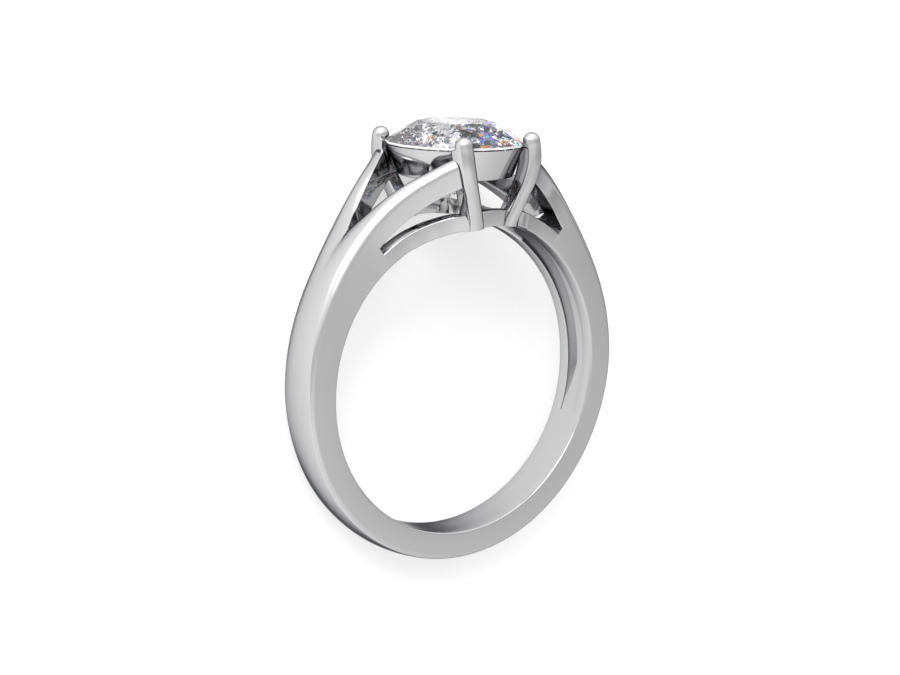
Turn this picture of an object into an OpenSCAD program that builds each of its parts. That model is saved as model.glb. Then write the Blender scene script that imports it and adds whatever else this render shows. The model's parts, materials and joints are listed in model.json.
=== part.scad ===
// Split shank solitaire ring, at rest on its side.
// The ring is drawn upright first: X across the finger, Y along the finger, Z up to the stone,
// with the origin on the axis of the finger hole. Angles are counted from the top, in degrees.
// Heights marked "rise" are measured outwards from the wall of the finger hole, in millimetres.

/* [Finger hole] */
// Inside diameter of the ring
bore_d = 17.3; // [17.1:0.1:17.5]

/* [Rails under the head] */
// Height of each rail over the finger hole
rail_h = 0.87; // [0.8:0.01:0.95]
// Thickness of each rail along the finger
rail_t = 0.85; // [0.75:0.05:0.95]
// Depth of the channel inside each shoulder
channel_depth = 0.35; // [0.25:0.05:0.4]
// How far the rims beside each channel stand back from the finger hole's wall
rim_relief = 0.02; // [0.01:0.01:0.03]

/* [Stone] */
// Width of the oval stone, across the finger
stone_w = 6.9; // [6.8:0.05:6.95]
// Length of the oval stone, along the finger
stone_l = 8.6; // [8.5:0.05:8.65]
// Width of the flat table, as a share of the stone
table_share = 0.53; // [0.5:0.01:0.6]
// Height of the crown over the girdle
crown_h = 1.08; // [0.9:0.02:1.2]
// Thickness of the girdle
girdle_t = 0.12; // [0.1:0.02:0.2]
// Depth of the pavilion under the girdle
pavilion_h = 2.85; // [2.6:0.05:2.9]
// Height of the girdle's lower edge over the finger hole
girdle_rise = 4.13; // [4.1:0.01:4.2]

/* [Head] */
// Radius of each prong
prong_r = 0.47; // [0.42:0.01:0.5]
// Depth of a prong's flat sided root towards the middle
root_depth = 0.78; // [0.7:0.02:0.85]
// Height of the collar's top over the finger hole
collar_top = 4.07; // [4.0:0.01:4.1]
// Height of the collar
collar_h = 1.62; // [1.4:0.02:1.8]
// Half width of the collar at its top
collar_top_r = 3.41; // [3.35:0.01:3.44]
// Half width of the collar at its foot
collar_foot_r = 2.86; // [2.8:0.01:2.95]
// Wall of the collar
collar_wall = 0.48; // [0.4:0.02:0.6]
// Clear gap between the stone and its seat
seat_gap = 0.03; // [0.02:0.01:0.06]

/* [Hidden] */

bore_r = bore_d / 2;
rail_r = bore_r + rail_h;
channel_r = bore_r + channel_depth;
core_r = bore_r - 0.35;         // radius to which the blank reaches into the finger hole
over = 0.2;                     // how far a cut runs past a face
clear_rise = 6;                 // rise that is over everything
cut_w = 12;                     // width that runs past both sides of the head
girdle_z = bore_r + girdle_rise;
star_share = 0.52;              // reach of the star facets, from the table to the girdle
half_share = 0.26;              // how far from the middle the lower halves start
main_turn = 22.5;               // angle between neighbouring corners of the girdle
over_rail = 1;                  // rise at which the hoop's side is stated, just over the rails
under_drop = 0.08;              // the windows cut the arms this much over the blank's own edge
arm_end = 11;                   // angle where an arm runs into its prong
window_end = 38;                // angle of a window's narrow end
rim_from = 30;                  // angle where the rims beside a channel start
rim_to = 111;                   // angle where they end, just short of the channel's end
root_ease = 0.14;               // height over which a prong's flat sided root turns round

// Half width of the hoop at the finger hole and just over the rails, by angle
HOLE_W = 1;
RAIL_W = 2;
hoop = [
    [0, 3.40, 3.40], [6, 3.47, 3.46], [10, 3.24, 3.13], [13, 2.93, 2.83],
    [16, 2.71, 2.62], [19, 2.53, 2.38], [22, 2.31, 2.19], [26, 2.12, 1.98],
    [30, 1.93, 1.85], [36, 1.80, 1.73], [45, 1.66, 1.60], [64, 1.50, 1.46],
    [90, 1.42, 1.39], [120, 1.27, 1.25], [150, 1.25, 1.23], [180, 1.25, 1.23]];

// Sections of the arms and the shank, by angle: the arm's lower outer edge, the start and the end
// of the rounded outer edge, the crown of the top and its inner edge, each as a rise and a half width
UNDER = 1;
SIDE = 3;
EDGE = 5;
CROWN = 7;
INNER = 9;
shank = [
    [11, 2.55, 4.02, 3.82, 4.09, 3.91, 4.03, 4.02, 3.58, 3.94, 3.02],
    [14, 2.40, 3.66, 3.62, 3.65, 3.71, 3.60, 3.83, 3.16, 3.70, 2.60],
    [17, 2.26, 3.31, 3.43, 3.25, 3.51, 3.20, 3.63, 2.76, 3.46, 2.20],
    [22, 2.01, 2.81, 3.19, 2.71, 3.28, 2.65, 3.40, 2.17, 3.16, 1.56],
    [28, 1.72, 2.34, 2.90, 2.22, 2.99, 2.16, 3.11, 1.60, 2.83, 0.90],
    [34, 1.44, 1.99, 2.60, 1.90, 2.70, 1.84, 2.82, 1.20, 2.60, 0.36],
    [40, 1.22, 1.75, 2.33, 1.68, 2.44, 1.60, 2.57, 0.85, 2.42, 0.10],
    [46, 1.19, 1.61, 2.09, 1.55, 2.23, 1.44, 2.37, 0.72, 2.33, 0.20],
    [54, 1.18, 1.53, 1.85, 1.44, 2.01, 1.30, 2.15, 0.65, 2.17, 0.22],
    [68, 1.18, 1.43, 1.57, 1.38, 1.77, 1.20, 1.87, 0.60, 1.90, 0.22],
    [90, 1.18, 1.38, 1.33, 1.36, 1.55, 1.12, 1.63, 0.56, 1.65, 0.20],
    [120, 1.18, 1.24, 1.30, 1.23, 1.53, 0.98, 1.62, 0.50, 1.65, 0.18],
    [180, 1.18, 1.23, 1.30, 1.22, 1.53, 0.96, 1.62, 0.48, 1.65, 0.18]];

// The split's top edge: distance across, half width and rise of each point
SPLIT_W = 1;
SPLIT_RISE = 2;
split = [
    [2.0, 3.42, 4.05], [2.8, 2.83, 3.48], [3.6, 2.26, 2.91], [4.4, 1.68, 2.34],
    [5.2, 1.14, 1.67], [6.0, 0.62, 0.97], [6.8, 0.19, 0.16], [7.1, 0.02, -0.15]];
split_to = 7.1;
web_from = 4.65;                // distance across at which the web starts
web_rise = -0.95;               // height of the split's floor there, from the top of the hole
web_slope = 0.375;              // rise of the floor over the distance across
web_step = 0.01;                // half the distance over which the floor starts
split_draft = 0.92;             // least width of the split's foot, as a share of its top
split_bend = 0.01;              // how much wider the split is at its bend than at its foot
// Distances across at which the split is drawn
split_rows = [0, 0.7, 1.2, 1.6, 2, 2.4, 2.8, 3.2, 3.6, 4, 4.4, web_from - web_step,
              web_from + web_step, 5.2, 5.7, 6.2, 6.7, split_to];

// Angle and half width of each channel section
channel_rows = [
    [29, 1.00], [34, 0.95], [40, 0.90], [47, 0.82], [55, 0.75], [65, 0.71],
    [75, 0.68], [85, 0.65], [95, 0.60], [104, 0.54], [112, 0.50]];

// Centre line and radius of a prong, by its rise over the top of the finger hole
PRONG_X = 1;
PRONG_Y = 2;
PRONG_R = 3;
prong_line = [
    [-0.75, 0.85, 3.18, prong_r], [0.05, 1.11, 3.32, prong_r], [0.35, 1.20, 3.39, prong_r],
    [0.95, 1.41, 3.53, prong_r], [1.55, 1.63, 3.67, prong_r], [2.15, 1.87, 3.84, prong_r],
    [2.75, 2.03, 3.93, prong_r], [3.35, 2.16, 3.97, prong_r], [3.95, 2.21, 3.90, prong_r],
    [4.41, 2.22, 3.80, prong_r]];
tip_rise = prong_line[len(prong_line) - 1][0];
tip_rings = [25, 50, 72];       // angles of the rings that round a prong's tip
// Flat sided half of a prong's root, as shares of its radius and of its depth
root_half = [[-1, -0.5], [-0.93, -0.94], [0, -1], [0.93, -0.94], [1, -0.5]];

// Resting pose: the ring leans on the prongs of one side and on the shank's lower edge
foot = shank[len(shank) - 1];
rest_prong_y = 3.885;           // centre line of a prong where it touches down
rest_prong_z = bore_r + 2.45;   // and its height there
rest_edge_y = foot[SIDE + 1];
rest_edge_z = bore_r + foot[SIDE];
rest_dy = rest_prong_y - rest_edge_y;
rest_dz = rest_prong_z + rest_edge_z;
lean = atan2(rest_dy, rest_dz) + asin(prong_r / norm([rest_dy, rest_dz]));
lift = rest_edge_y * cos(lean) + rest_edge_z * sin(lean);
table_z = girdle_z + girdle_t + crown_h;
reach_head = table_z * cos(lean) + stone_l / 2 * table_share * sin(lean);
reach_foot = (bore_r + foot[EDGE]) * cos(lean) + foot[EDGE + 1] * sin(lean);
set_back = (reach_head - reach_foot) / 2;

// Smooth value of a column at t, through the rows of a table
function row_of(tb, t) = max([for (i = [0 : len(tb) - 2]) if (i == 0 || tb[i][0] <= t) i]);
function slope(tb, c, i) =
    let (a = max(i - 1, 0), b = min(i + 1, len(tb) - 1))
    (tb[b][c] - tb[a][c]) / (tb[b][0] - tb[a][0]);
function along(tb, c, t0) =
    let (t = min(max(t0, tb[0][0]), tb[len(tb) - 1][0]))
    let (i = row_of(tb, t), span = tb[i + 1][0] - tb[i][0], u = (t - tb[i][0]) / span)
    (1 - 3 * u * u + 2 * u * u * u) * tb[i][c] + (3 * u * u - 2 * u * u * u) * tb[i + 1][c]
    + u * (1 - u) * (1 - u) * span * slope(tb, c, i)
    - u * u * (1 - u) * span * slope(tb, c, i + 1);

function polar(angle, r) = [r * sin(angle), r * cos(angle)];
function mirrored(half) =
    concat(half, [for (i = [len(half) - 1 : -1 : 0]) [half[i][0], -half[i][1]]]);

// Solid through equal rings of points, closed at both ends or joined into a loop
module skin(rings, loop = false) {
    n = len(rings[0]);
    m = len(rings);
    sides = [
        for (i = [0 : loop ? m - 1 : m - 2]) for (j = [0 : n - 1])
            let (a = i * n + j, b = i * n + (j + 1) % n,
                 c = ((i + 1) % m) * n + (j + 1) % n, d = ((i + 1) % m) * n + j)
            each [[a, c, b], [a, d, c]]];
    ends = loop ? [] : [
        [for (j = [0 : n - 1]) j],
        [for (j = [n - 1 : -1 : 0]) (m - 1) * n + j]];
    polyhedron([for (ring = rings) each ring], concat(sides, ends), convexity = 10);
}

// One section of the hoop: points as [rise from the axis, half width], bottom to top
function hoop_half(a) =
    let (hole = along(hoop, HOLE_W, a), rail = along(hoop, RAIL_W, a),
         low = hole + (hole - rail) * (bore_r - core_r) / over_rail,
         side_r = bore_r + along(shank, SIDE, a), side_w = along(shank, SIDE + 1, a),
         edge_r = bore_r + along(shank, EDGE, a), edge_w = along(shank, EDGE + 1, a))
    concat(
        [[core_r, low], [bore_r + over_rail, rail],
         [bore_r + along(shank, UNDER, a) - under_drop, along(shank, UNDER + 1, a)]],
        [for (q = [0 : 30 : 90])
            [side_r + (edge_r - side_r) * sin(q), edge_w + (side_w - edge_w) * cos(q)]],
        [for (c = [CROWN, INNER]) [bore_r + along(shank, c, a), along(shank, c + 1, a)]]);

// The whole hoop as if it were solid up to the arms' tops
module blank() {
    stations = concat([for (a = [0 : 4 : 44]) a], [for (a = [51 : 8 : 179]) a],
                      [for (a = [-179 : 8 : -51]) a], [for (a = [-44 : 4 : -4]) a]);
    skin([for (a = stations) [for (p = mirrored(hoop_half(abs(a))))
        [p[0] * sin(a), p[1], p[0] * cos(a)]]], loop = true);
}

// Side windows between rails and arms, and the room for the head between the arms' ends
module windows() {
    under = [for (a = [window_end : -3 : arm_end]) polar(a, bore_r + along(shank, UNDER, a))];
    right = concat([polar(window_end, bore_r)], under, [polar(arm_end, bore_r + clear_rise)]);
    left = [for (i = [len(right) - 1 : -1 : 0]) [-right[i][0], right[i][1]]];
    rotate([90, 0, 0])
        linear_extrude(height = cut_w, center = true)
            difference() {
                polygon(concat(right, left));
                circle(r = rail_r, $fn = 180);
            }
}

// The split between the two arms of each side, open to the finger hole as far as the web
module split_cut() {
    top_z = bore_r + clear_rise;
    open_z = bore_r - clear_rise / 2;
    floor_z = bore_r + web_rise;
    xs = concat([for (i = [len(split_rows) - 1 : -1 : 1]) -split_rows[i]], split_rows);
    skin([for (x = xs)
        let (d = abs(x),
             edge_w = along(split, SPLIT_W, d), edge_z = bore_r + along(split, SPLIT_RISE, d),
             foot_w = min(along(hoop, HOLE_W, asin(d / bore_r)) - rail_t, split_draft * edge_w),
             foot_z = d < web_from ? open_z : floor_z + web_slope * (d - web_from),
             bend_z = max(sqrt(pow(rail_r + over / 2, 2) - d * d), foot_z + over),
             top_w = foot_w + (edge_w - foot_w) * (top_z - bend_z) / (edge_z - bend_z))
        [for (p = mirrored([[foot_z, foot_w], [bend_z, foot_w + split_bend], [top_z, top_w]]))
            [x, p[1], p[0]]]]);
}

// Shallow channel inside each shoulder, between the rims of the shank
module channel() {
    low_r = core_r - over;
    skin([for (row = channel_rows)
        [for (q = [[low_r, 1], [channel_r, 1], [channel_r, -1], [low_r, -1]])
            [q[0] * sin(row[0]), q[1] * row[1], q[0] * cos(row[0])]]]);
}

// The finger hole, a little wider along the rims beside each channel
module finger_hole() {
    rotate([90, 0, 0]) {
        cylinder(r = bore_r, h = cut_w, center = true, $fn = 180);
        for (side = [-1, 1])
            linear_extrude(height = cut_w, center = true)
                intersection() {
                    circle(r = bore_r + rim_relief, $fn = 180);
                    polygon(concat(
                        [[0, 0]],
                        [for (a = [rim_from, (rim_from + rim_to) / 2, rim_to])
                            polar(side * a, bore_r + clear_rise)]));
                }
    }
}

// One prong: a round rod with a flat sided root that carries the collar, and a round tip
module prong() {
    root_top = collar_top + over / 4;
    root = [for (row = prong_line) if (row[0] < root_top) row[0]];
    rises = concat(root, [root_top, root_top + root_ease, tip_rise]);
    body = [for (h = rises) [h, 1, h > root_top ? 0 : 1]];
    tip = [for (a = tip_rings) [tip_rise + prong_r * sin(a), cos(a), 0]];
    skin([for (s = concat(body, tip))
        let (x = along(prong_line, PRONG_X, s[0]), y = along(prong_line, PRONG_Y, s[0]),
             r = along(prong_line, PRONG_R, s[0]) * s[1])
        concat(
            [for (q = [0 : 22.5 : 180]) [x + r * cos(q), y + r * sin(q), bore_r + s[0]]],
            [for (i = [0 : 4]) let (q = 210 + 30 * i, b = root_half[i])
                s[2] == 1 ? [x + r * b[0], y + root_depth * b[1], bore_r + s[0]]
                          : [x + r * cos(q), y + r * sin(q), bore_r + s[0]]])]);
}

// Oval cone of the collar's outside, or of its inside where inset is the wall
module collar_cone(inset, extra) {
    flare = (collar_top_r - collar_foot_r) / collar_h * extra;
    translate([0, 0, bore_r + collar_top - collar_h - extra])
        scale([1, stone_l / stone_w, 1])
            cylinder(r1 = collar_foot_r - inset - flare, r2 = collar_top_r - inset + flare,
                     h = collar_h + 2 * extra, $fn = 96);
}

// Oval brilliant: table, 8 stars, 8 kites, 16 upper halves, girdle, 16 lower halves, 8 mains
module brilliant(grow) {
    a = stone_w / 2 + grow;
    b = stone_l / 2 + grow;
    top_z = girdle_t + crown_h + grow;
    rim_z = girdle_t + grow;
    foot_z = -grow;
    culet_z = -pavilion_h - grow;
    flat = cos(main_turn);
    star_r = star_share * (table_share * flat + 1);
    star_z = top_z + (star_r * flat - table_share) * (rim_z - top_z) / (1 - table_share);
    low_z = culet_z + half_share * flat * (foot_z - culet_z);
    levels = [
        for (k = [0 : 7]) [table_share, 2 * k * main_turn, top_z],
        for (k = [0 : 7]) [star_r, (2 * k + 1) * main_turn, star_z],
        for (k = [0 : 15]) [1, k * main_turn, rim_z],
        for (k = [0 : 15]) [1, k * main_turn, foot_z],
        for (k = [0 : 7]) [half_share, (2 * k + 1) * main_turn, low_z],
        [0, 0, culet_z]];
    // Where each ring of corners starts in the list
    STAR = 8;
    RIM = 16;
    FOOT = 32;
    LOW = 48;
    CULET = 56;
    faces = [
        [for (k = [7 : -1 : 0]) k],
        for (k = [0 : 7]) [k, (k + 1) % 8, STAR + k],
        for (k = [0 : 7]) [k, STAR + k, RIM + 2 * k, STAR + (k + 7) % 8],
        for (k = [0 : 7]) [STAR + k, RIM + 2 * k + 1, RIM + 2 * k],
        for (k = [0 : 7]) [STAR + k, RIM + (2 * k + 2) % 16, RIM + 2 * k + 1],
        for (k = [0 : 15]) [RIM + k, RIM + (k + 1) % 16, FOOT + (k + 1) % 16, FOOT + k],
        for (k = [0 : 7]) [LOW + k, FOOT + 2 * k, FOOT + 2 * k + 1],
        for (k = [0 : 7]) [LOW + k, FOOT + 2 * k + 1, FOOT + (2 * k + 2) % 16],
        for (k = [0 : 7]) [CULET, LOW + (k + 7) % 8, FOOT + 2 * k, LOW + k]];
    translate([0, 0, girdle_z])
        polyhedron([for (p = levels) [a * p[0] * cos(p[1]), b * p[0] * sin(p[1]), p[2]]], faces);
}

// Lays the upright ring on its side, centred on the origin, with its lowest points at height 0
module at_rest() {
    translate([0, -set_back, lift])
        rotate([lean - 90, 0, 0])
            children();
}

// All the metal: hoop, arms, rails, prongs and collar, soldered into one
module ring_body() {
    color("silver")
        at_rest()
            difference() {
                union() {
                    difference() {
                        blank();
                        windows();
                        split_cut();
                        for (side = [0, 1])
                            mirror([side, 0, 0])
                                channel();
                    }
                    for (sx = [0, 1], sy = [0, 1])
                        mirror([sx, 0, 0])
                            mirror([0, sy, 0])
                                prong();
                    collar_cone(0, 0);
                }
                finger_hole();
                collar_cone(collar_wall, over);
                brilliant(seat_gap);
            }
}

module stone() {
    color("aliceblue")
        at_rest()
            brilliant(0);
}

ring_body();
stone();
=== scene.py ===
import json
import math

import bmesh
import bpy
from mathutils import Matrix, Vector


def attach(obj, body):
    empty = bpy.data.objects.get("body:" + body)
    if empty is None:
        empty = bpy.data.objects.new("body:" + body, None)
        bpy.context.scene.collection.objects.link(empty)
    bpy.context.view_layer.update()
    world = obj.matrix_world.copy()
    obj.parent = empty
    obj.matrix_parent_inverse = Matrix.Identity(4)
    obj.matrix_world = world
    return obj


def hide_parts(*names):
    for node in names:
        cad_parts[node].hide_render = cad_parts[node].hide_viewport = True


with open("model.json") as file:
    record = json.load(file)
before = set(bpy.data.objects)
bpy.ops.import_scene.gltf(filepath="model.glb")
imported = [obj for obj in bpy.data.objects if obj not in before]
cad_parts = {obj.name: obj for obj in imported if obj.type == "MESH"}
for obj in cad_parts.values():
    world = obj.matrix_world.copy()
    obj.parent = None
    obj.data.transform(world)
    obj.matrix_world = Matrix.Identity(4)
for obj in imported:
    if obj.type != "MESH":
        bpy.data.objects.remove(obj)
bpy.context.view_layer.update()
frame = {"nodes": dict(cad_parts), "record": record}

# Split shank solitaire ring. The pieces are shaped upright, in millimetres: X across the finger,
# Y along the finger, Z up to the stone, the origin on the axis of the finger hole. One matrix,
# worked out from the record's finger hole, lays them on their side in the row frame. Sizes are in
# millimetres and angles in degrees from the top of the hoop, unless a comment says otherwise.
MM = 0.001
HOLE = frame["record"]["mounts"][0]
BORE_R = HOLE["dims"]["r_mm"]
LEAN = math.atan2(-HOLE["axis"][1], HOLE["axis"][2])
AT_REST = (
    Matrix.Translation(Vector(HOLE["pos_m"]))
    @ Matrix.Rotation(LEAN - math.pi / 2, 4, "X")
    @ Matrix.Scale(MM, 4)
)

# Where the free arms start, where the windows and the split between the arms end
ARM_END = 11
WINDOW_END = 38
CROTCH = 39.5

# Half width of the hoop at the finger hole and just over the rails, by angle
HOOP = (
    (0, 3.46, 3.47), (6, 3.47, 3.50), (8.5, 3.50, 3.62), (10.5, 3.38, 3.48), (13, 2.95, 2.93),
    (16, 2.71, 2.62), (19, 2.53, 2.38), (22, 2.31, 2.19), (26, 2.12, 1.98),
    (30, 1.93, 1.87), (36, 1.80, 1.79), (45, 1.66, 1.636), (64, 1.50, 1.46),
    (90, 1.42, 1.39), (120, 1.27, 1.25), (150, 1.25, 1.23), (180, 1.25, 1.23),
)
HOLE_W, RAIL_W = 1, 2

# Rails under the head, and the rise at which the table above gives their outer width
RAIL_H = 0.87
RAIL_T = 0.85
OVER_RAIL = 1.0

# Sections of the arms and the shank by angle, each point as a rise over the hole and a half width
SHANK = (
    (11, 2.55, 4.02, 3.82, 4.09, 3.91, 4.03, 4.02, 3.58, 3.95, 3.10),
    (14, 2.40, 3.66, 3.62, 3.65, 3.71, 3.60, 3.83, 3.16, 3.72, 2.70),
    (17, 2.26, 3.31, 3.43, 3.25, 3.51, 3.20, 3.63, 2.76, 3.48, 2.30),
    (22, 2.01, 2.81, 3.19, 2.71, 3.28, 2.65, 3.40, 2.17, 3.18, 1.66),
    (28, 1.72, 2.34, 2.90, 2.22, 2.99, 2.16, 3.11, 1.60, 2.85, 1.00),
    (34, 1.44, 1.94, 2.60, 1.90, 2.70, 1.84, 2.82, 1.20, 2.62, 0.46),
    (39.5, 1.22, 1.72, 2.35, 1.70, 2.46, 1.62, 2.59, 0.88, 2.43, 0.00),
    (46, 1.19, 1.60, 2.09, 1.55, 2.23, 1.44, 2.36, 0.74, 2.32, 0.00),
    (54, 1.18, 1.53, 1.85, 1.44, 2.01, 1.30, 2.14, 0.66, 2.17, 0.00),
    (68, 1.18, 1.43, 1.57, 1.38, 1.77, 1.20, 1.87, 0.60, 1.90, 0.00),
    (90, 1.18, 1.38, 1.33, 1.36, 1.55, 1.12, 1.61, 0.56, 1.63, 0.00),
    (120, 1.18, 1.24, 1.30, 1.23, 1.53, 0.98, 1.61, 0.50, 1.64, 0.00),
    (180, 1.18, 1.23, 1.30, 1.22, 1.53, 0.96, 1.61, 0.48, 1.64, 0.00),
)
UNDER, SIDE, EDGE, CROWN, INNER = 1, 3, 5, 7, 9

# The outer edge is rounder, and falls off, on the arms; both fade over these angles down the shank
ARM_ROUND = 0.35
SHANK_ROUND = 0.23
ARM_FALL = 0.28
ROUND_FADE = (50, 90)

# The side of an arm turns into the side of the shank over these angles
SIDE_BLEND = (WINDOW_END, WINDOW_END + 6)

# The split's top edge: distance across, half width and rise over the top of the hole. Its foot is
# a little narrower than the edge.
SPLIT = (
    (2.0, 3.42, 4.05), (2.8, 2.83, 3.48), (3.6, 2.26, 2.91), (4.4, 1.68, 2.34),
    (5.2, 1.14, 1.67), (6.0, 0.62, 0.97), (6.8, 0.19, 0.16), (7.1, 0.02, -0.15),
)
SPLIT_W, SPLIT_RISE = 1, 2
SPLIT_FOOT = 0.92

# The split's sloping floor: where it starts across, its rise there and its slope
WEB_FROM = 4.65
WEB_RISE = -0.95
WEB_SLOPE = 0.375
WEB_START = 31.1

# Half width of the channel inside each shoulder, by angle. Its floor rises towards its end, to
# the depth given for it, and reaches the full depth over the two angles of the rise.
CHANNEL = (
    (29, 1.00), (34, 0.95), (40, 0.90), (47, 0.82), (55, 0.75), (65, 0.71),
    (75, 0.68), (85, 0.65), (95, 0.60), (104, 0.54), (112, 0.50),
)
CHANNEL_W = 1
CHANNEL_DEPTH = 0.35
CHANNEL_END_DEPTH = 0.05
CHANNEL_RISE = (109, 94)
CHANNEL_END = 112

# Centre line and radius of a prong, by its rise over the top of the hole, and the turns at which
# its round tip is cut into sections
PRONG = (
    (-0.75, 0.85, 3.12, 0.47), (0.05, 1.10, 3.27, 0.47), (0.35, 1.19, 3.36, 0.47),
    (0.95, 1.41, 3.53, 0.47), (1.55, 1.63, 3.67, 0.47), (2.15, 1.87, 3.84, 0.47),
    (2.75, 2.03, 3.93, 0.47), (3.35, 2.16, 3.97, 0.47), (3.95, 2.21, 3.90, 0.47),
    (4.41, 2.22, 3.80, 0.47),
)
PRONG_X, PRONG_Y, PRONG_ROD = 1, 2, 3
PRONG_R = 0.47
TIP_TURNS = (10, 20, 30, 40, 50, 60, 70, 80, 87)

# A prong's root: its depth, a quarter of its outline as shares of the radius and the depth, how
# far it reaches over the collar and fades into the round rod, and its gap to the finger hole
ROOT_DEPTH = 0.78
ROOT_QUARTER = ((1, 0.28), (0.985, 0.62), (0.93, 0.84), (0.80, 0.95), (0.5, 1.0), (0.2, 1.0))
ROOT_OVER = 0.05
ROOT_FADE = 0.14
FOOT_GAP = 0.004

# Oval collar under the stone
COLLAR_TOP = 4.07
COLLAR_H = 1.62
COLLAR_TOP_R = 3.41
COLLAR_FOOT_R = 2.86
COLLAR_WALL = 0.48

# Stone, with the table's share of its width and the clear gap that its seat keeps
STONE_W = 6.9
STONE_L = 8.6
OVAL = STONE_L / STONE_W
TABLE_SHARE = 0.53
CROWN_H = 1.08
GIRDLE_T = 0.12
PAVILION_H = 2.85
GIRDLE_RISE = 4.13
SEAT_GAP = 0.03

# Roundings of the edges
BORE_EDGE = 0.12
FINE_EDGE = 0.07
CHANNEL_EDGE = 0.04
SPLIT_EDGE = 0.04
COLLAR_FOOT_EDGE = 0.08
COLLAR_TOP_EDGE = 0.06

# Sections along each run, and points along a rounded edge or a domed top
ARM_STEPS = 54
CROTCH_STEPS = 6
CHANNEL_STEPS = 73
SHANK_STEPS = 68
RAIL_STEPS = 152
WEB_STEPS = 16
ROOT_STEPS = 22
FADE_STEPS = 3
COLLAR_STEPS = 144
EDGE_STEPS = 8

# A section just past another makes a sharp step, rails and webs run a little into the shoulders,
# and points this close are one
NEXT_ANGLE = 0.01
INTO_SHOULDER = 0.02
SAME = 1e-4

# Edges that turn by more than this stay crisp
CRISP_ANGLE = 32

# The photo's camera, stated round the upright ring: its direction in degrees, its distance, the
# point it looks at, across and up the picture, and its lens in pixels of the photo's width
PHOTO_AZIMUTH = 36.33
PHOTO_ELEVATION = 11.92
PHOTO_DISTANCE = 102.86
PHOTO_CENTRE = (-0.262, 2.048)
PHOTO_LENS = 1865.8
PHOTO_WIDTH = 900
SENSOR_WIDTH = 36

# Direction across the stone, in the row frame, towards the side where its painted sparkle,
# coloured and dark, is strongest
PAINTED_SPARKLE_SIDE = (0.8, 0.0, 0.6)


def along(table, column, t):
    """Smooth value of a column at t, through the rows of a table."""
    t = min(max(t, table[0][0]), table[-1][0])
    i = max(k for k in range(len(table) - 1) if k == 0 or table[k][0] <= t)

    def slope(k):
        a, b = table[max(k - 1, 0)], table[min(k + 1, len(table) - 1)]
        return (b[column] - a[column]) / (b[0] - a[0])

    span = table[i + 1][0] - table[i][0]
    u = (t - table[i][0]) / span
    return (
        (1 - 3 * u**2 + 2 * u**3) * table[i][column]
        + (3 * u**2 - 2 * u**3) * table[i + 1][column]
        + u * (1 - u) ** 2 * span * slope(i)
        - u**2 * (1 - u) * span * slope(i + 1)
    )


def passed(value, start, end):
    """Share of the way from start to end that a value has gone, between 0 and 1."""
    return min(max((value - start) / (end - start), 0), 1)


def steps(start, stop, count):
    """Evenly spaced values from start to stop, both included."""
    return [start + (stop - start) * k / count for k in range(count + 1)]


def polar(angle, point):
    """Place of a section's point, a distance from the axis and a half width, at an angle."""
    a = math.radians(angle)
    return Vector((point[0] * math.sin(a), point[1], point[0] * math.cos(a)))


def curve(start, corner, end, u):
    """Point of the smooth curve from start to end that is drawn towards a corner."""
    return start * (1 - u) ** 2 + corner * 2 * u * (1 - u) + end * u**2


def toward(p, other, distance):
    """Point at a distance from p towards another, or that other point where it is nearer."""
    reach = Vector(other) - p
    if reach.length < 1e-9:
        return p
    return p + reach * min(1, distance / reach.length)


def rounded(corners):
    """Outline through (point, radius, steps) corners, each rounded with that many steps."""
    outline = []
    for i, (p, radius, count) in enumerate(corners):
        p = Vector(p)
        if not count:
            outline.append(p)
            continue
        start = toward(p, corners[i - 1][0], radius)
        end = toward(p, corners[(i + 1) % len(corners)][0], radius)
        outline += [curve(start, p, end, k / count) for k in range(count + 1)]
    return outline


def ring_edges(bm, ring):
    """Edges of a closed ring of vertices."""
    return [bm.edges.get((a, b)) for a, b in zip(ring, ring[1:] + ring[:1])]


def pull(bm, ring, places):
    """Extrudes a closed ring of vertices once and puts the new ring at places."""
    made = bmesh.ops.extrude_edge_only(bm, edges=ring_edges(bm, ring))["geom"]
    new = {v for v in made if isinstance(v, bmesh.types.BMVert)}
    out = []
    for v, place in zip(ring, places):
        w = next(e.other_vert(v) for e in v.link_edges if e.other_vert(v) in new)
        w.co = place
        out.append(w)
    return out


def loft(bm, sections, caps=(True, True)):
    """Skin through closed sections of equal numbers of points."""
    ring = bmesh.ops.create_circle(bm, segments=len(sections[0]), radius=1)["verts"]
    first = ring
    for v, place in zip(ring, sections[0]):
        v.co = place
    for places in sections[1:]:
        ring = pull(bm, ring, places)
    for end, wanted in ((first, caps[0]), (ring, caps[1])):
        if wanted:
            bmesh.ops.contextual_create(bm, geom=ring_edges(bm, end))


def four_quarters(bm, merge):
    """Mirrors one quarter of the ring along the finger, then across it."""
    for axis in ("Y", "X"):
        bmesh.ops.mirror(bm, geom=bm.verts[:] + bm.edges[:] + bm.faces[:], axis=axis,
                         merge_dist=merge)


def clear_of_stone(co):
    """Moves a point that would touch the stone out to the seat's clear gap."""
    rise = co.z - BORE_R - GIRDLE_RISE
    if rise < 0:
        share = 1 + rise / PAVILION_H
    elif rise < GIRDLE_T:
        share = 1
    else:
        share = 1 - (rise - GIRDLE_T) / CROWN_H * (1 - TABLE_SHARE)
    half = STONE_W / 2 * share + SEAT_GAP
    reach = math.hypot(co.x, co.y / OVAL)
    if half > 0 and 1e-6 < reach < half:
        co.x *= half / reach
        co.y *= half / reach


def shank_point(column, angle):
    """Point of the arms' and the shank's section, by its first column in the table."""
    return Vector((BORE_R + along(SHANK, column, angle), along(SHANK, column + 1, angle)))


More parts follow.
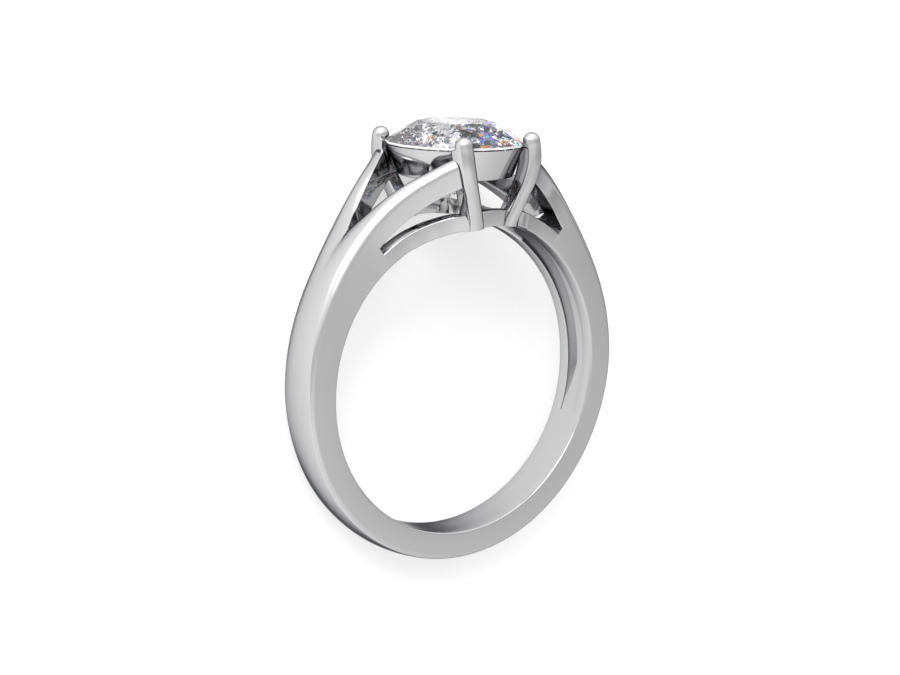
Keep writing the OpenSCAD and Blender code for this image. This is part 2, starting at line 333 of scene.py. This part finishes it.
def split_half_width(x, z):
    """Half width of the split between the arms at a distance across and a height."""
    over_rail, over_web = 0.1, 0.2
    edge_w = along(SPLIT, SPLIT_W, x)
    edge_z = BORE_R + along(SPLIT, SPLIT_RISE, x)
    hole_w = along(HOOP, HOLE_W, math.degrees(math.asin(min(1, x / BORE_R))))
    foot_w = min(hole_w - RAIL_T, SPLIT_FOOT * edge_w)
    bend_z = math.sqrt(max(0, (BORE_R + RAIL_H + over_rail) ** 2 - x * x))
    if x > WEB_FROM:
        bend_z = max(bend_z, BORE_R + WEB_RISE + WEB_SLOPE * (x - WEB_FROM) + over_web)
    return foot_w + (edge_w - foot_w) * max(0, z - bend_z) / (edge_z - bend_z)


def split_floor(angle):
    """Distance from the axis of the split's sloping floor at an angle."""
    a = math.radians(angle)
    return (BORE_R + WEB_RISE - WEB_SLOPE * WEB_FROM) / (math.cos(a) - WEB_SLOPE * math.sin(a))


def side_point(angle, rise):
    """Point of the flat side of an arm or the shank, at a rise over the hole."""
    under_r, under_w, side_r, side_w = (
        along(SHANK, c, angle) for c in (UNDER, UNDER + 1, SIDE, SIDE + 1))
    hole_w = along(HOOP, HOLE_W, angle)
    arm_w = under_w + (side_w - under_w) * (rise - under_r) / (side_r - under_r)
    shank_w = hole_w + (side_w - hole_w) * rise / side_r
    return Vector((BORE_R + rise, arm_w + (shank_w - arm_w) * passed(angle, *SIDE_BLEND)))


def top_path(angle):
    """The rounded outer edge and the domed top of an arm or the shank, from outside to inside."""
    edge, crown, inner = (shank_point(column, angle) for column in (EDGE, CROWN, INNER))
    if angle >= CROTCH:
        inner.y = 0
    span = (edge.y - crown.y, edge.y - inner.y, crown.y - inner.y)
    lower = passed(angle, *ROUND_FADE)
    radius = ARM_ROUND + (SHANK_ROUND - ARM_ROUND) * lower
    side_w = along(SHANK, SIDE + 1, angle)
    least_run = 0.2
    fall = ARM_FALL * (1 - lower) / (2 * max(side_w - radius - crown.y, least_run))

    def dome(y):
        return Vector((
            edge.x * (y - crown.y) * (y - inner.y) / (span[0] * span[1])
            - crown.x * (y - edge.y) * (y - inner.y) / (span[0] * span[2])
            + inner.x * (y - edge.y) * (y - crown.y) / (span[1] * span[2])
            - fall * max(0, y - crown.y) ** 2, y))

    turn = dome(side_w - radius)
    slope = (dome(turn.y + 0.01).x - turn.x) / 0.01
    corner = Vector((turn.x + slope * radius, side_w))
    low = side_point(angle, corner.x - radius - BORE_R)
    path = [curve(low, corner, turn, k / EDGE_STEPS) for k in range(EDGE_STEPS + 1)]
    path += [dome(turn.y + (inner.y - turn.y) * k / EDGE_STEPS) for k in range(1, EDGE_STEPS + 1)]
    return path


def shank_section(angle, channel):
    """Half section of the solid shank: channel, wall of the hole, side, top, middle plane."""
    hole_w = along(HOOP, HOLE_W, angle)
    channel_w = along(CHANNEL, CHANNEL_W, angle)
    depth = 0
    if channel:
        rise = passed(angle, *CHANNEL_RISE)
        depth = CHANNEL_END_DEPTH + (CHANNEL_DEPTH - CHANNEL_END_DEPTH) * rise
    side =[Vector((BORE_R + OVER_RAIL, along(HOOP, RAIL_W, angle))), shank_point(UNDER, angle)]
    side_end = shank_point(SIDE, angle)
    for p in side:
        share = (p.x - BORE_R) / (side_end.x - BORE_R)
        p.y += (hole_w + (side_end.y - hole_w) * share - p.y) * passed(angle, *SIDE_BLEND)
    foot = rounded(
        [((BORE_R + depth, 0), 0, 0), ((BORE_R + depth, channel_w), 0, 0),
         ((BORE_R, channel_w), CHANNEL_EDGE, 2), ((BORE_R, hole_w), BORE_EDGE, 4),
         (side[0], 0, 0)])
    top = top_path(angle)
    if angle >= CROTCH:
        floor = [top[-1]] * 3
    else:
        low = split_floor(angle)
        a = math.radians(angle)
        low_w = split_half_width(low * math.sin(a), low * math.cos(a))
        floor = [Vector((low + SPLIT_EDGE, low_w)), Vector((low, max(0, low_w - SPLIT_EDGE))),
                 Vector((low, 0))]
    return foot + [side[1]] + top + floor


def arm_section(angle):
    """Section of one free arm, with as many points as the shank's."""
    a = math.radians(angle)
    under = shank_point(UNDER, angle)
    floor = split_floor(angle)
    top = top_path(angle)
    least_wall = 0.02
    if floor > under.x + least_wall:
        floor_w = split_half_width(floor * math.sin(a), floor * math.cos(a))
        inner = [Vector((floor + SPLIT_EDGE, floor_w)),
                 Vector((floor, max(0, floor_w - SPLIT_EDGE))), Vector((floor, 0))]
        start = Vector((under.x, 0))
    else:
        low_w = split_half_width(under.x * math.sin(a), under.x * math.cos(a))
        inner = [Vector((under.x + rise, low_w + out))
                 for rise, out in ((0.05, 0.01), (0.015, 0.015), (0, 0.05))]
        start = inner[2]
    foot = [start.lerp(under, share) for share in (0, 0.25, 0.5, 0.6, 0.75)]
    up = (top[0] - under).normalized()
    across = (start - under).normalized()
    corner = [under + across * FINE_EDGE * (1 - u) ** 2 + up * FINE_EDGE * u**2
              for u in (0, 0.25, 0.5, 0.75, 1)]
    side = [corner[-1].lerp(top[0], share) for share in (0.3, 0.65)]
    return foot + corner + side + top + inner


def hoop(bm):
    """Shank, shoulders and arms: a quarter is skinned, then mirrored twice."""
    stations = [(a, arm_section(a)) for a in steps(ARM_END, WINDOW_END, ARM_STEPS)]
    stations += [(a, shank_section(a, True))
                 for a in steps(WINDOW_END + NEXT_ANGLE, CROTCH, CROTCH_STEPS)]
    stations += [(a, shank_section(a, True))
                 for a in steps(CROTCH, CHANNEL_END, CHANNEL_STEPS)[1:]]
    stations += [(a, shank_section(a, False))
                 for a in steps(CHANNEL_END + NEXT_ANGLE, 180, SHANK_STEPS)]
    loft(bm, [[polar(a, p) for p in section] for a, section in stations], caps=(True, False))
    # the half sections close across the middle plane, where the mirrored halves are to join
    middle = [f for f in bm.faces if all(abs(v.co.y) < 1e-5 for v in f.verts)]
    bmesh.ops.delete(bm, geom=middle, context="FACES")
    bmesh.ops.remove_doubles(bm, verts=bm.verts, dist=SAME)
    four_quarters(bm, SAME)


def rails(bm):
    """The two rails under the head, from shoulder to shoulder."""
    reach = WINDOW_END + INTO_SHOULDER
    for side in (1, -1):
        sections = []
        for a in steps(-reach, reach, RAIL_STEPS):
            d = abs(a)
            top_x = (BORE_R + RAIL_H) * math.sin(math.radians(d))
            hole_w = along(HOOP, HOLE_W, d)
            top_w = hole_w + (along(HOOP, RAIL_W, d) - hole_w) * RAIL_H / OVER_RAIL
            inner_w = along(HOOP, HOLE_W, math.degrees(math.asin(top_x / BORE_R))) - RAIL_T
            outline = rounded(
                [((BORE_R, hole_w), BORE_EDGE, 4), ((BORE_R + RAIL_H, top_w), FINE_EDGE, 3),
                 ((BORE_R + RAIL_H, inner_w), FINE_EDGE, 3),
                 ((BORE_R, hole_w - RAIL_T), BORE_EDGE, 4)])
            sections.append([polar(a, (p.x, side * p.y)) for p in outline])
        loft(bm, sections)


def webs(bm):
    """The thin floor between the rails where each shoulder begins."""
    into_rail, under_rail_top, least_t = 0.1, 0.01, 0.02
    low = BORE_R + CHANNEL_DEPTH
    for side in (1, -1):
        sections = []
        for a in steps(WEB_START, WINDOW_END + INTO_SHOULDER, WEB_STEPS):
            top = max(min(split_floor(a), BORE_R + RAIL_H - under_rail_top), low + least_t)
            half = along(HOOP, HOLE_W, a) - RAIL_T + into_rail
            corners = ((low, -half), (low, half), (top, half), (top, -half))
            sections.append([polar(side * a, p) for p in corners])
        loft(bm, sections)


def prong_outline(x, y, r, boxy):
    """Outline of a prong: round outside, and inside from round (0) to flat sided (1)."""
    outline = [(x + r * math.cos(math.radians(q)), y + r * math.sin(math.radians(q)))
               for q in range(0, 181, 12)]
    half = [(-s, d) for s, d in ROOT_QUARTER] + [(s, d) for s, d in reversed(ROOT_QUARTER)]
    for k, (s, d) in enumerate(half):
        q = math.radians(180 + 180 * (k + 1) / (len(half) + 1))
        box = Vector((x + r * s, y - ROOT_DEPTH * d))
        disc = Vector((x + r * math.cos(q), y + r * math.sin(q)))
        p = disc.lerp(box, boxy)
        outline.append((p.x, p.y))
    return outline


def prongs(bm):
    """Four prongs: round rods with a flat sided root that carries the collar, and round tips."""
    root_top = COLLAR_TOP + ROOT_OVER
    tip_rise = PRONG[-1][0]
    levels = [(h, 1.0, 1.0) for h in steps(0.0, root_top, ROOT_STEPS)]
    levels += [(root_top + ROOT_FADE * k / FADE_STEPS, 1.0, 1 - k / FADE_STEPS)
               for k in range(1, FADE_STEPS + 1)]
    levels += [(tip_rise, 1.0, 0.0)]
    levels += [(tip_rise + PRONG_R * math.sin(math.radians(q)), math.cos(math.radians(q)), 0.0)
               for q in TIP_TURNS]
    sections = []
    for n, (rise, shrink, boxy) in enumerate(levels):
        x, y, r = (along(PRONG, column, rise) for column in (PRONG_X, PRONG_Y, PRONG_ROD))
        section = []
        for px, py in prong_outline(x, y, r * shrink, boxy):
            z = BORE_R + rise
            if n == 0:
                z = math.sqrt((BORE_R + FOOT_GAP) ** 2 - px * px)
            co = Vector((px, py, z))
            clear_of_stone(co)
            section.append(co)
        sections.append(section)
    loft(bm, sections)
    four_quarters(bm, -1)


def collar(bm):
    """Oval tapered collar under the stone: its profile is spun round and widened to the oval."""
    low, high = BORE_R + COLLAR_TOP - COLLAR_H, BORE_R + COLLAR_TOP
    profile = rounded(
        [((COLLAR_FOOT_R, low), COLLAR_FOOT_EDGE, 4), ((COLLAR_TOP_R, high), COLLAR_TOP_EDGE, 4),
         ((COLLAR_TOP_R - COLLAR_WALL, high), COLLAR_TOP_EDGE, 3),
         ((COLLAR_FOOT_R - COLLAR_WALL, low), COLLAR_FOOT_EDGE, 4)])
    ring = bmesh.ops.create_circle(bm, segments=len(profile), radius=1)["verts"]
    for v, p in zip(ring, profile):
        v.co = (p.x, 0, p.y)
    bmesh.ops.spin(bm, geom=ring + ring_edges(bm, ring), cent=(0, 0, 0), axis=(0, 0, 1),
                   angle=2 * math.pi, steps=COLLAR_STEPS, use_merge=True)
    bmesh.ops.scale(bm, vec=(1, OVAL, 1), verts=bm.verts)
    for v in bm.verts:
        clear_of_stone(v.co)


def piece(name, makers):
    """One mesh object from the shapes that makers add, laid at rest in the row frame."""
    whole = bmesh.new()
    for make in makers:
        bm = bmesh.new()
        make(bm)
        bmesh.ops.remove_doubles(bm, verts=bm.verts, dist=SAME)
        bmesh.ops.dissolve_degenerate(bm, edges=bm.edges, dist=SAME)
        bmesh.ops.recalc_face_normals(bm, faces=bm.faces)
        part = bpy.data.meshes.new(name)
        bm.to_mesh(part)
        bm.free()
        whole.from_mesh(part)
        bpy.data.meshes.remove(part)
    mesh = bpy.data.meshes.new(name)
    whole.to_mesh(mesh)
    whole.free()
    mesh.transform(AT_REST)
    mesh.shade_smooth()
    mesh.set_sharp_from_angle(angle=math.radians(CRISP_ANGLE))
    obj = bpy.data.objects.new(name, mesh)
    even = obj.modifiers.new("even_faces", "WEIGHTED_NORMAL")
    even.keep_sharp = True
    bpy.context.scene.collection.objects.link(obj)
    return obj


def srgb(text):
    """Linear colour of an sRGB hex value."""
    parts = [int(text[i:i + 2], 16) / 255 for i in (1, 3, 5)]
    linear = [c / 12.92 if c <= 0.04045 else ((c + 0.055) / 1.055) ** 2.4 for c in parts]
    return (*linear, 1.0)


def add_node(tree, kind, settings=None, inputs=None):
    """Adds a node, sets its settings, and sets or links its inputs."""
    node = tree.nodes.new(kind)
    for key, value in (settings or {}).items():
        setattr(node, key, value)
    for key, value in (inputs or {}).items():
        if isinstance(value, bpy.types.NodeSocket):
            tree.links.new(value, node.inputs[key])
        else:
            node.inputs[key].default_value = value
    return node


def new_material(name):
    """A material with an empty node tree."""
    material = bpy.data.materials.new(name)
    material.use_nodes = True
    material.node_tree.nodes.clear()
    return material, material.node_tree


def polished_silver():
    """Cast and hand polished sterling silver: a near mirror with faint polishing haze."""
    material, tree = new_material("polished_silver")
    place = add_node(tree, "ShaderNodeTexCoord")
    # patches a few millimetres wide, as a felt wheel leaves them, are a little less bright
    patch = 2.5 * MM
    haze = add_node(tree, "ShaderNodeTexNoise", inputs={
        "Vector": place.outputs["Object"], "Scale": 1 / patch, "Detail": 3.0})
    rough = add_node(tree, "ShaderNodeMapRange", inputs={
        "Value": haze.outputs["Fac"], "To Min": 0.07, "To Max": 0.12})
    # the darker tint at a glancing angle draws the silhouettes as thin grey lines
    shader = add_node(tree, "ShaderNodeBsdfPrincipled", inputs={
        "Base Color": srgb("#C6C6C7"), "Specular Tint": srgb("#606064"), "Metallic": 1.0,
        "Roughness": rough.outputs["Result"]})
    add_node(tree, "ShaderNodeOutputMaterial", inputs={"Surface": shader.outputs["BSDF"]})
    return material


def cut_diamond():
    """Clear diamond: high refraction, painted reflections and dispersion in specks of white, grey,
    blue and amber, pale girdle.
    """
    material, tree = new_material("cut_diamond")
    place = add_node(tree, "ShaderNodeTexCoord")
    seat = AT_REST @ Vector((0, 0, BORE_R + GIRDLE_RISE))
    white = srgb("#FFFFFF")

    # the painted sparkle, standing in for dispersion and dark reflections, is strongest on one
    # side of the stone, towards its front right corner, and the other side is painted paler
    fade_from, fade_to, faintest_painted_sparkle = -0.4 * MM, 0.8 * MM, 0.12
    across = add_node(tree, "ShaderNodeVectorMath", {"operation": "DOT_PRODUCT"}, {
        0: place.outputs["Object"], 1: PAINTED_SPARKLE_SIDE})
    middle = seat.dot(Vector(PAINTED_SPARKLE_SIDE))
    share = add_node(tree, "ShaderNodeMapRange", inputs={
        "Value": across.outputs["Value"], "From Min": middle + fade_from,
        "From Max": middle + fade_to, "To Min": faintest_painted_sparkle, "To Max": 1.0})

    # each fleck, as wide as those in the photo, tilts the light a little, as the small facets
    # behind the crown do
    tilt_fleck = 0.26 * MM
    facets = add_node(tree, "ShaderNodeTexVoronoi", inputs={
        "Vector": place.outputs["Object"], "Scale": 1 / tilt_fleck})
    spread = add_node(tree, "ShaderNodeMapRange", inputs={
        "Value": share.outputs["Result"], "To Min": 0.12, "To Max": 0.26})
    tilt = add_node(tree, "ShaderNodeVectorMath", {"operation": "SUBTRACT"}, {
        0: facets.outputs["Color"], 1: (0.5, 0.5, 0.5)})
    small_tilt = add_node(tree, "ShaderNodeVectorMath", {"operation": "SCALE"}, {
        0: tilt.outputs["Vector"], "Scale": spread.outputs["Result"]})
    form = add_node(tree, "ShaderNodeNewGeometry")
    lean = add_node(tree, "ShaderNodeVectorMath", {"operation": "ADD"}, {
        0: form.outputs["Normal"], 1: small_tilt.outputs["Vector"]})
    facing = add_node(tree, "ShaderNodeVectorMath", {"operation": "NORMALIZE"}, {
        0: lean.outputs["Vector"]})

    # each painted fleck is picked at random: mostly white, grey and black as painted reflections,
    # then blue and amber as painted dispersion
    painted_fleck_size = 0.24 * MM
    painted_sparkle_bands = ((0.0, "#FFFFFF"), (0.16, "#A8B0C0"), (0.28, "#3A3E48"), (0.42, "#060608"),
              (0.62, "#1C2CC0"), (0.72, "#D05808"), (0.82, "#482494"), (0.87, "#148CB0"),
              (0.92, "#FFFFFF"))
    colours = add_node(tree, "ShaderNodeTexVoronoi", inputs={
        "Vector": place.outputs["Object"], "Scale": 1 / painted_fleck_size})
    pick = add_node(tree, "ShaderNodeSeparateColor", inputs={"Color": colours.outputs["Color"]})
    painted_sparkle = add_node(tree, "ShaderNodeValToRGB", inputs={"Fac": pick.outputs["Green"]})
    painted_sparkle.color_ramp.interpolation = "CONSTANT"
    bands = painted_sparkle.color_ramp.elements
    for k, (start, colour) in enumerate(painted_sparkle_bands):
        band = bands[k] if k < 2 else bands.new(start)
        band.position = start
        band.color = srgb(colour)
    # the painted sparkle is mixed into white: faintly on the paler side, fully on the other
    painted_sparkle_mix = add_node(tree, "ShaderNodeMix", {"data_type": "RGBA"}, {
        0: share.outputs["Result"], 6: white, 7: painted_sparkle.outputs["Color"]})

    # the girdle is left frosted, so it scatters light as a pale rim
    frosting = 0.6
    half_girdle = GIRDLE_T / 2 * MM
    stone_up = AT_REST.to_3x3() @ Vector((0, 0, 1)) / MM
    height = add_node(tree, "ShaderNodeVectorMath", {"operation": "DOT_PRODUCT"}, {
        0: place.outputs["Object"], 1: tuple(stone_up)})
    girdle = add_node(tree, "ShaderNodeMath", {"operation": "COMPARE"}, {
        0: height.outputs["Value"], 1: seat.dot(stone_up) + half_girdle, 2: half_girdle})
    colour = add_node(tree, "ShaderNodeMix", {"data_type": "RGBA"}, {
        0: girdle.outputs["Value"], 6: painted_sparkle_mix.outputs[2], 7: white})
    frost = add_node(tree, "ShaderNodeMath", {"operation": "MULTIPLY"}, {
        0: girdle.outputs["Value"], 1: frosting})
    clear = add_node(tree, "ShaderNodeMath", {"operation": "SUBTRACT"}, {
        0: 1.0, 1: frost.outputs["Value"]})

    shader = add_node(tree, "ShaderNodeBsdfPrincipled", inputs={
        "Base Color": colour.outputs[2], "Roughness": frost.outputs["Value"], "IOR": 2.42,
        "Specular Tint": srgb("#A0A0A0"), "Transmission Weight": clear.outputs["Value"],
        "Normal": facing.outputs["Vector"]})
    add_node(tree, "ShaderNodeOutputMaterial", inputs={"Surface": shader.outputs["BSDF"]})
    return material


def pale_floor():
    """Matt pale paper, lit a little from beneath so that the ring's shade on it stays light."""
    material, tree = new_material("pale_paper")
    shader = add_node(tree, "ShaderNodeBsdfPrincipled", inputs={
        "Base Color": srgb("#C0C0C0"), "Roughness": 0.9, "Emission Color": srgb("#FFFFFF"),
        "Emission Strength": 0.46})
    add_node(tree, "ShaderNodeOutputMaterial", inputs={"Surface": shader.outputs["BSDF"]})
    return material


def camera():
    """The photo's camera, stated round the upright ring and turned with it."""
    azimuth, elevation = math.radians(PHOTO_AZIMUTH), math.radians(PHOTO_ELEVATION)
    back = Vector((-math.sin(azimuth) * math.cos(elevation),
                   -math.cos(azimuth) * math.cos(elevation), math.sin(elevation)))
    right = Vector((math.cos(azimuth), -math.sin(azimuth), 0))
    up = right.cross(-back)
    target = right * PHOTO_CENTRE[0] + up * PHOTO_CENTRE[1]
    turn = Matrix((right, up, back)).transposed().to_4x4()
    data = bpy.data.cameras.new("camera")
    data.sensor_width = SENSOR_WIDTH
    data.lens = PHOTO_LENS / PHOTO_WIDTH * SENSOR_WIDTH
    data.clip_start = 0.001
    data.clip_end = 10
    obj = bpy.data.objects.new("camera", data)
    place = AT_REST @ Matrix.Translation(target + back * PHOTO_DISTANCE) @ turn
    location, rotation, _ = place.decompose()
    obj.matrix_world = Matrix.Translation(location) @ rotation.to_matrix().to_4x4()
    bpy.context.scene.collection.objects.link(obj)
    bpy.context.scene.camera = obj


def soft_light(name, place, size, watts, mirrored=True):
    """Soft light turned to the ring, out of the picture; the metal shows a mirrored one."""
    data = bpy.data.lights.new(name, "AREA")
    data.shape = "RECTANGLE"
    data.size, data.size_y = size
    data.energy = watts
    obj = bpy.data.objects.new(name, data)
    obj.location = place
    obj.rotation_euler = (-Vector(place)).to_track_quat("-Z", "Y").to_euler()
    obj.visible_glossy = mirrored
    obj.visible_camera = False
    bpy.context.scene.collection.objects.link(obj)


def surround():
    """Soft white dome: brightest past the stone, bright past the shank, dimmer on the right."""
    world = bpy.data.worlds.new("surround")
    bpy.context.scene.world = world
    world.use_nodes = True
    tree = world.node_tree
    tree.nodes.clear()
    place = add_node(tree, "ShaderNodeTexCoord")
    parts = add_node(tree, "ShaderNodeSeparateXYZ", inputs={"Vector": place.outputs["Generated"]})
    height = add_node(tree, "ShaderNodeMapRange", inputs={
        "Value": parts.outputs["Y"], "From Min": -1.0, "From Max": 1.0})
    ramp = add_node(tree, "ShaderNodeValToRGB", inputs={"Fac": height.outputs["Result"]})
    # brightness by direction, from past the shank (-1) to past the stone (1)
    stops = ((-1.0, 1.08), (-0.57, 1.18), (-0.34, 1.02), (-0.17, 0.88), (0.0, 0.80), (0.25, 0.80),
             (0.55, 0.78), (0.80, 0.80), (0.88, 1.5), (1.0, 2.4))
    strength = max(level for _, level in stops)
    bands = ramp.color_ramp.elements
    for k, (y, level) in enumerate(stops):
        band = bands[k] if k < 2 else bands.new(0.5)
        band.position = (y + 1) / 2
        band.color = (level / strength,) * 3 + (1.0,)
    right_share = 0.74
    side = add_node(tree, "ShaderNodeMapRange", inputs={
        "Value": parts.outputs["X"], "From Min": -0.3, "From Max": 0.6,
        "To Min": strength, "To Max": right_share * strength})
    light = add_node(tree, "ShaderNodeBackground", inputs={
        "Color": ramp.outputs["Color"], "Strength": side.outputs["Result"]})
    add_node(tree, "ShaderNodeOutputWorld", inputs={"Surface": light.outputs["Background"]})


def studio():
    """Pale floor and soft white surround, a key light and two soft strips at the upper left."""
    bm = bmesh.new()
    bmesh.ops.create_grid(bm, x_segments=1, y_segments=1, size=1.5)
    mesh = bpy.data.meshes.new("floor")
    bm.to_mesh(mesh)
    bm.free()
    mesh.materials.append(pale_floor())
    floor = bpy.data.objects.new("floor", mesh)
    bpy.context.scene.collection.objects.link(floor)
    surround()
    # places and sizes in metres, in the row frame
    soft_light("key", place=(-0.20, 0.24, 0.26), size=(0.12, 0.12), watts=0.32, mirrored=False)
    soft_light("low_strip", place=(-0.13, 0.24, 0.034), size=(0.30, 0.06), watts=0.20)
    soft_light("high_strip", place=(-0.129, 0.18, 0.20), size=(0.22, 0.10), watts=0.21)
    bpy.context.scene.view_settings.view_transform = "Standard"


camera()
studio()
metal = piece("ring_metal", (hoop, rails, webs, prongs, collar))
metal.data.materials.append(polished_silver())
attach(metal, "root")
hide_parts("ring_body")

stone = frame["nodes"]["stone"]
stone.data.materials.clear()
stone.data.materials.append(cut_diamond())
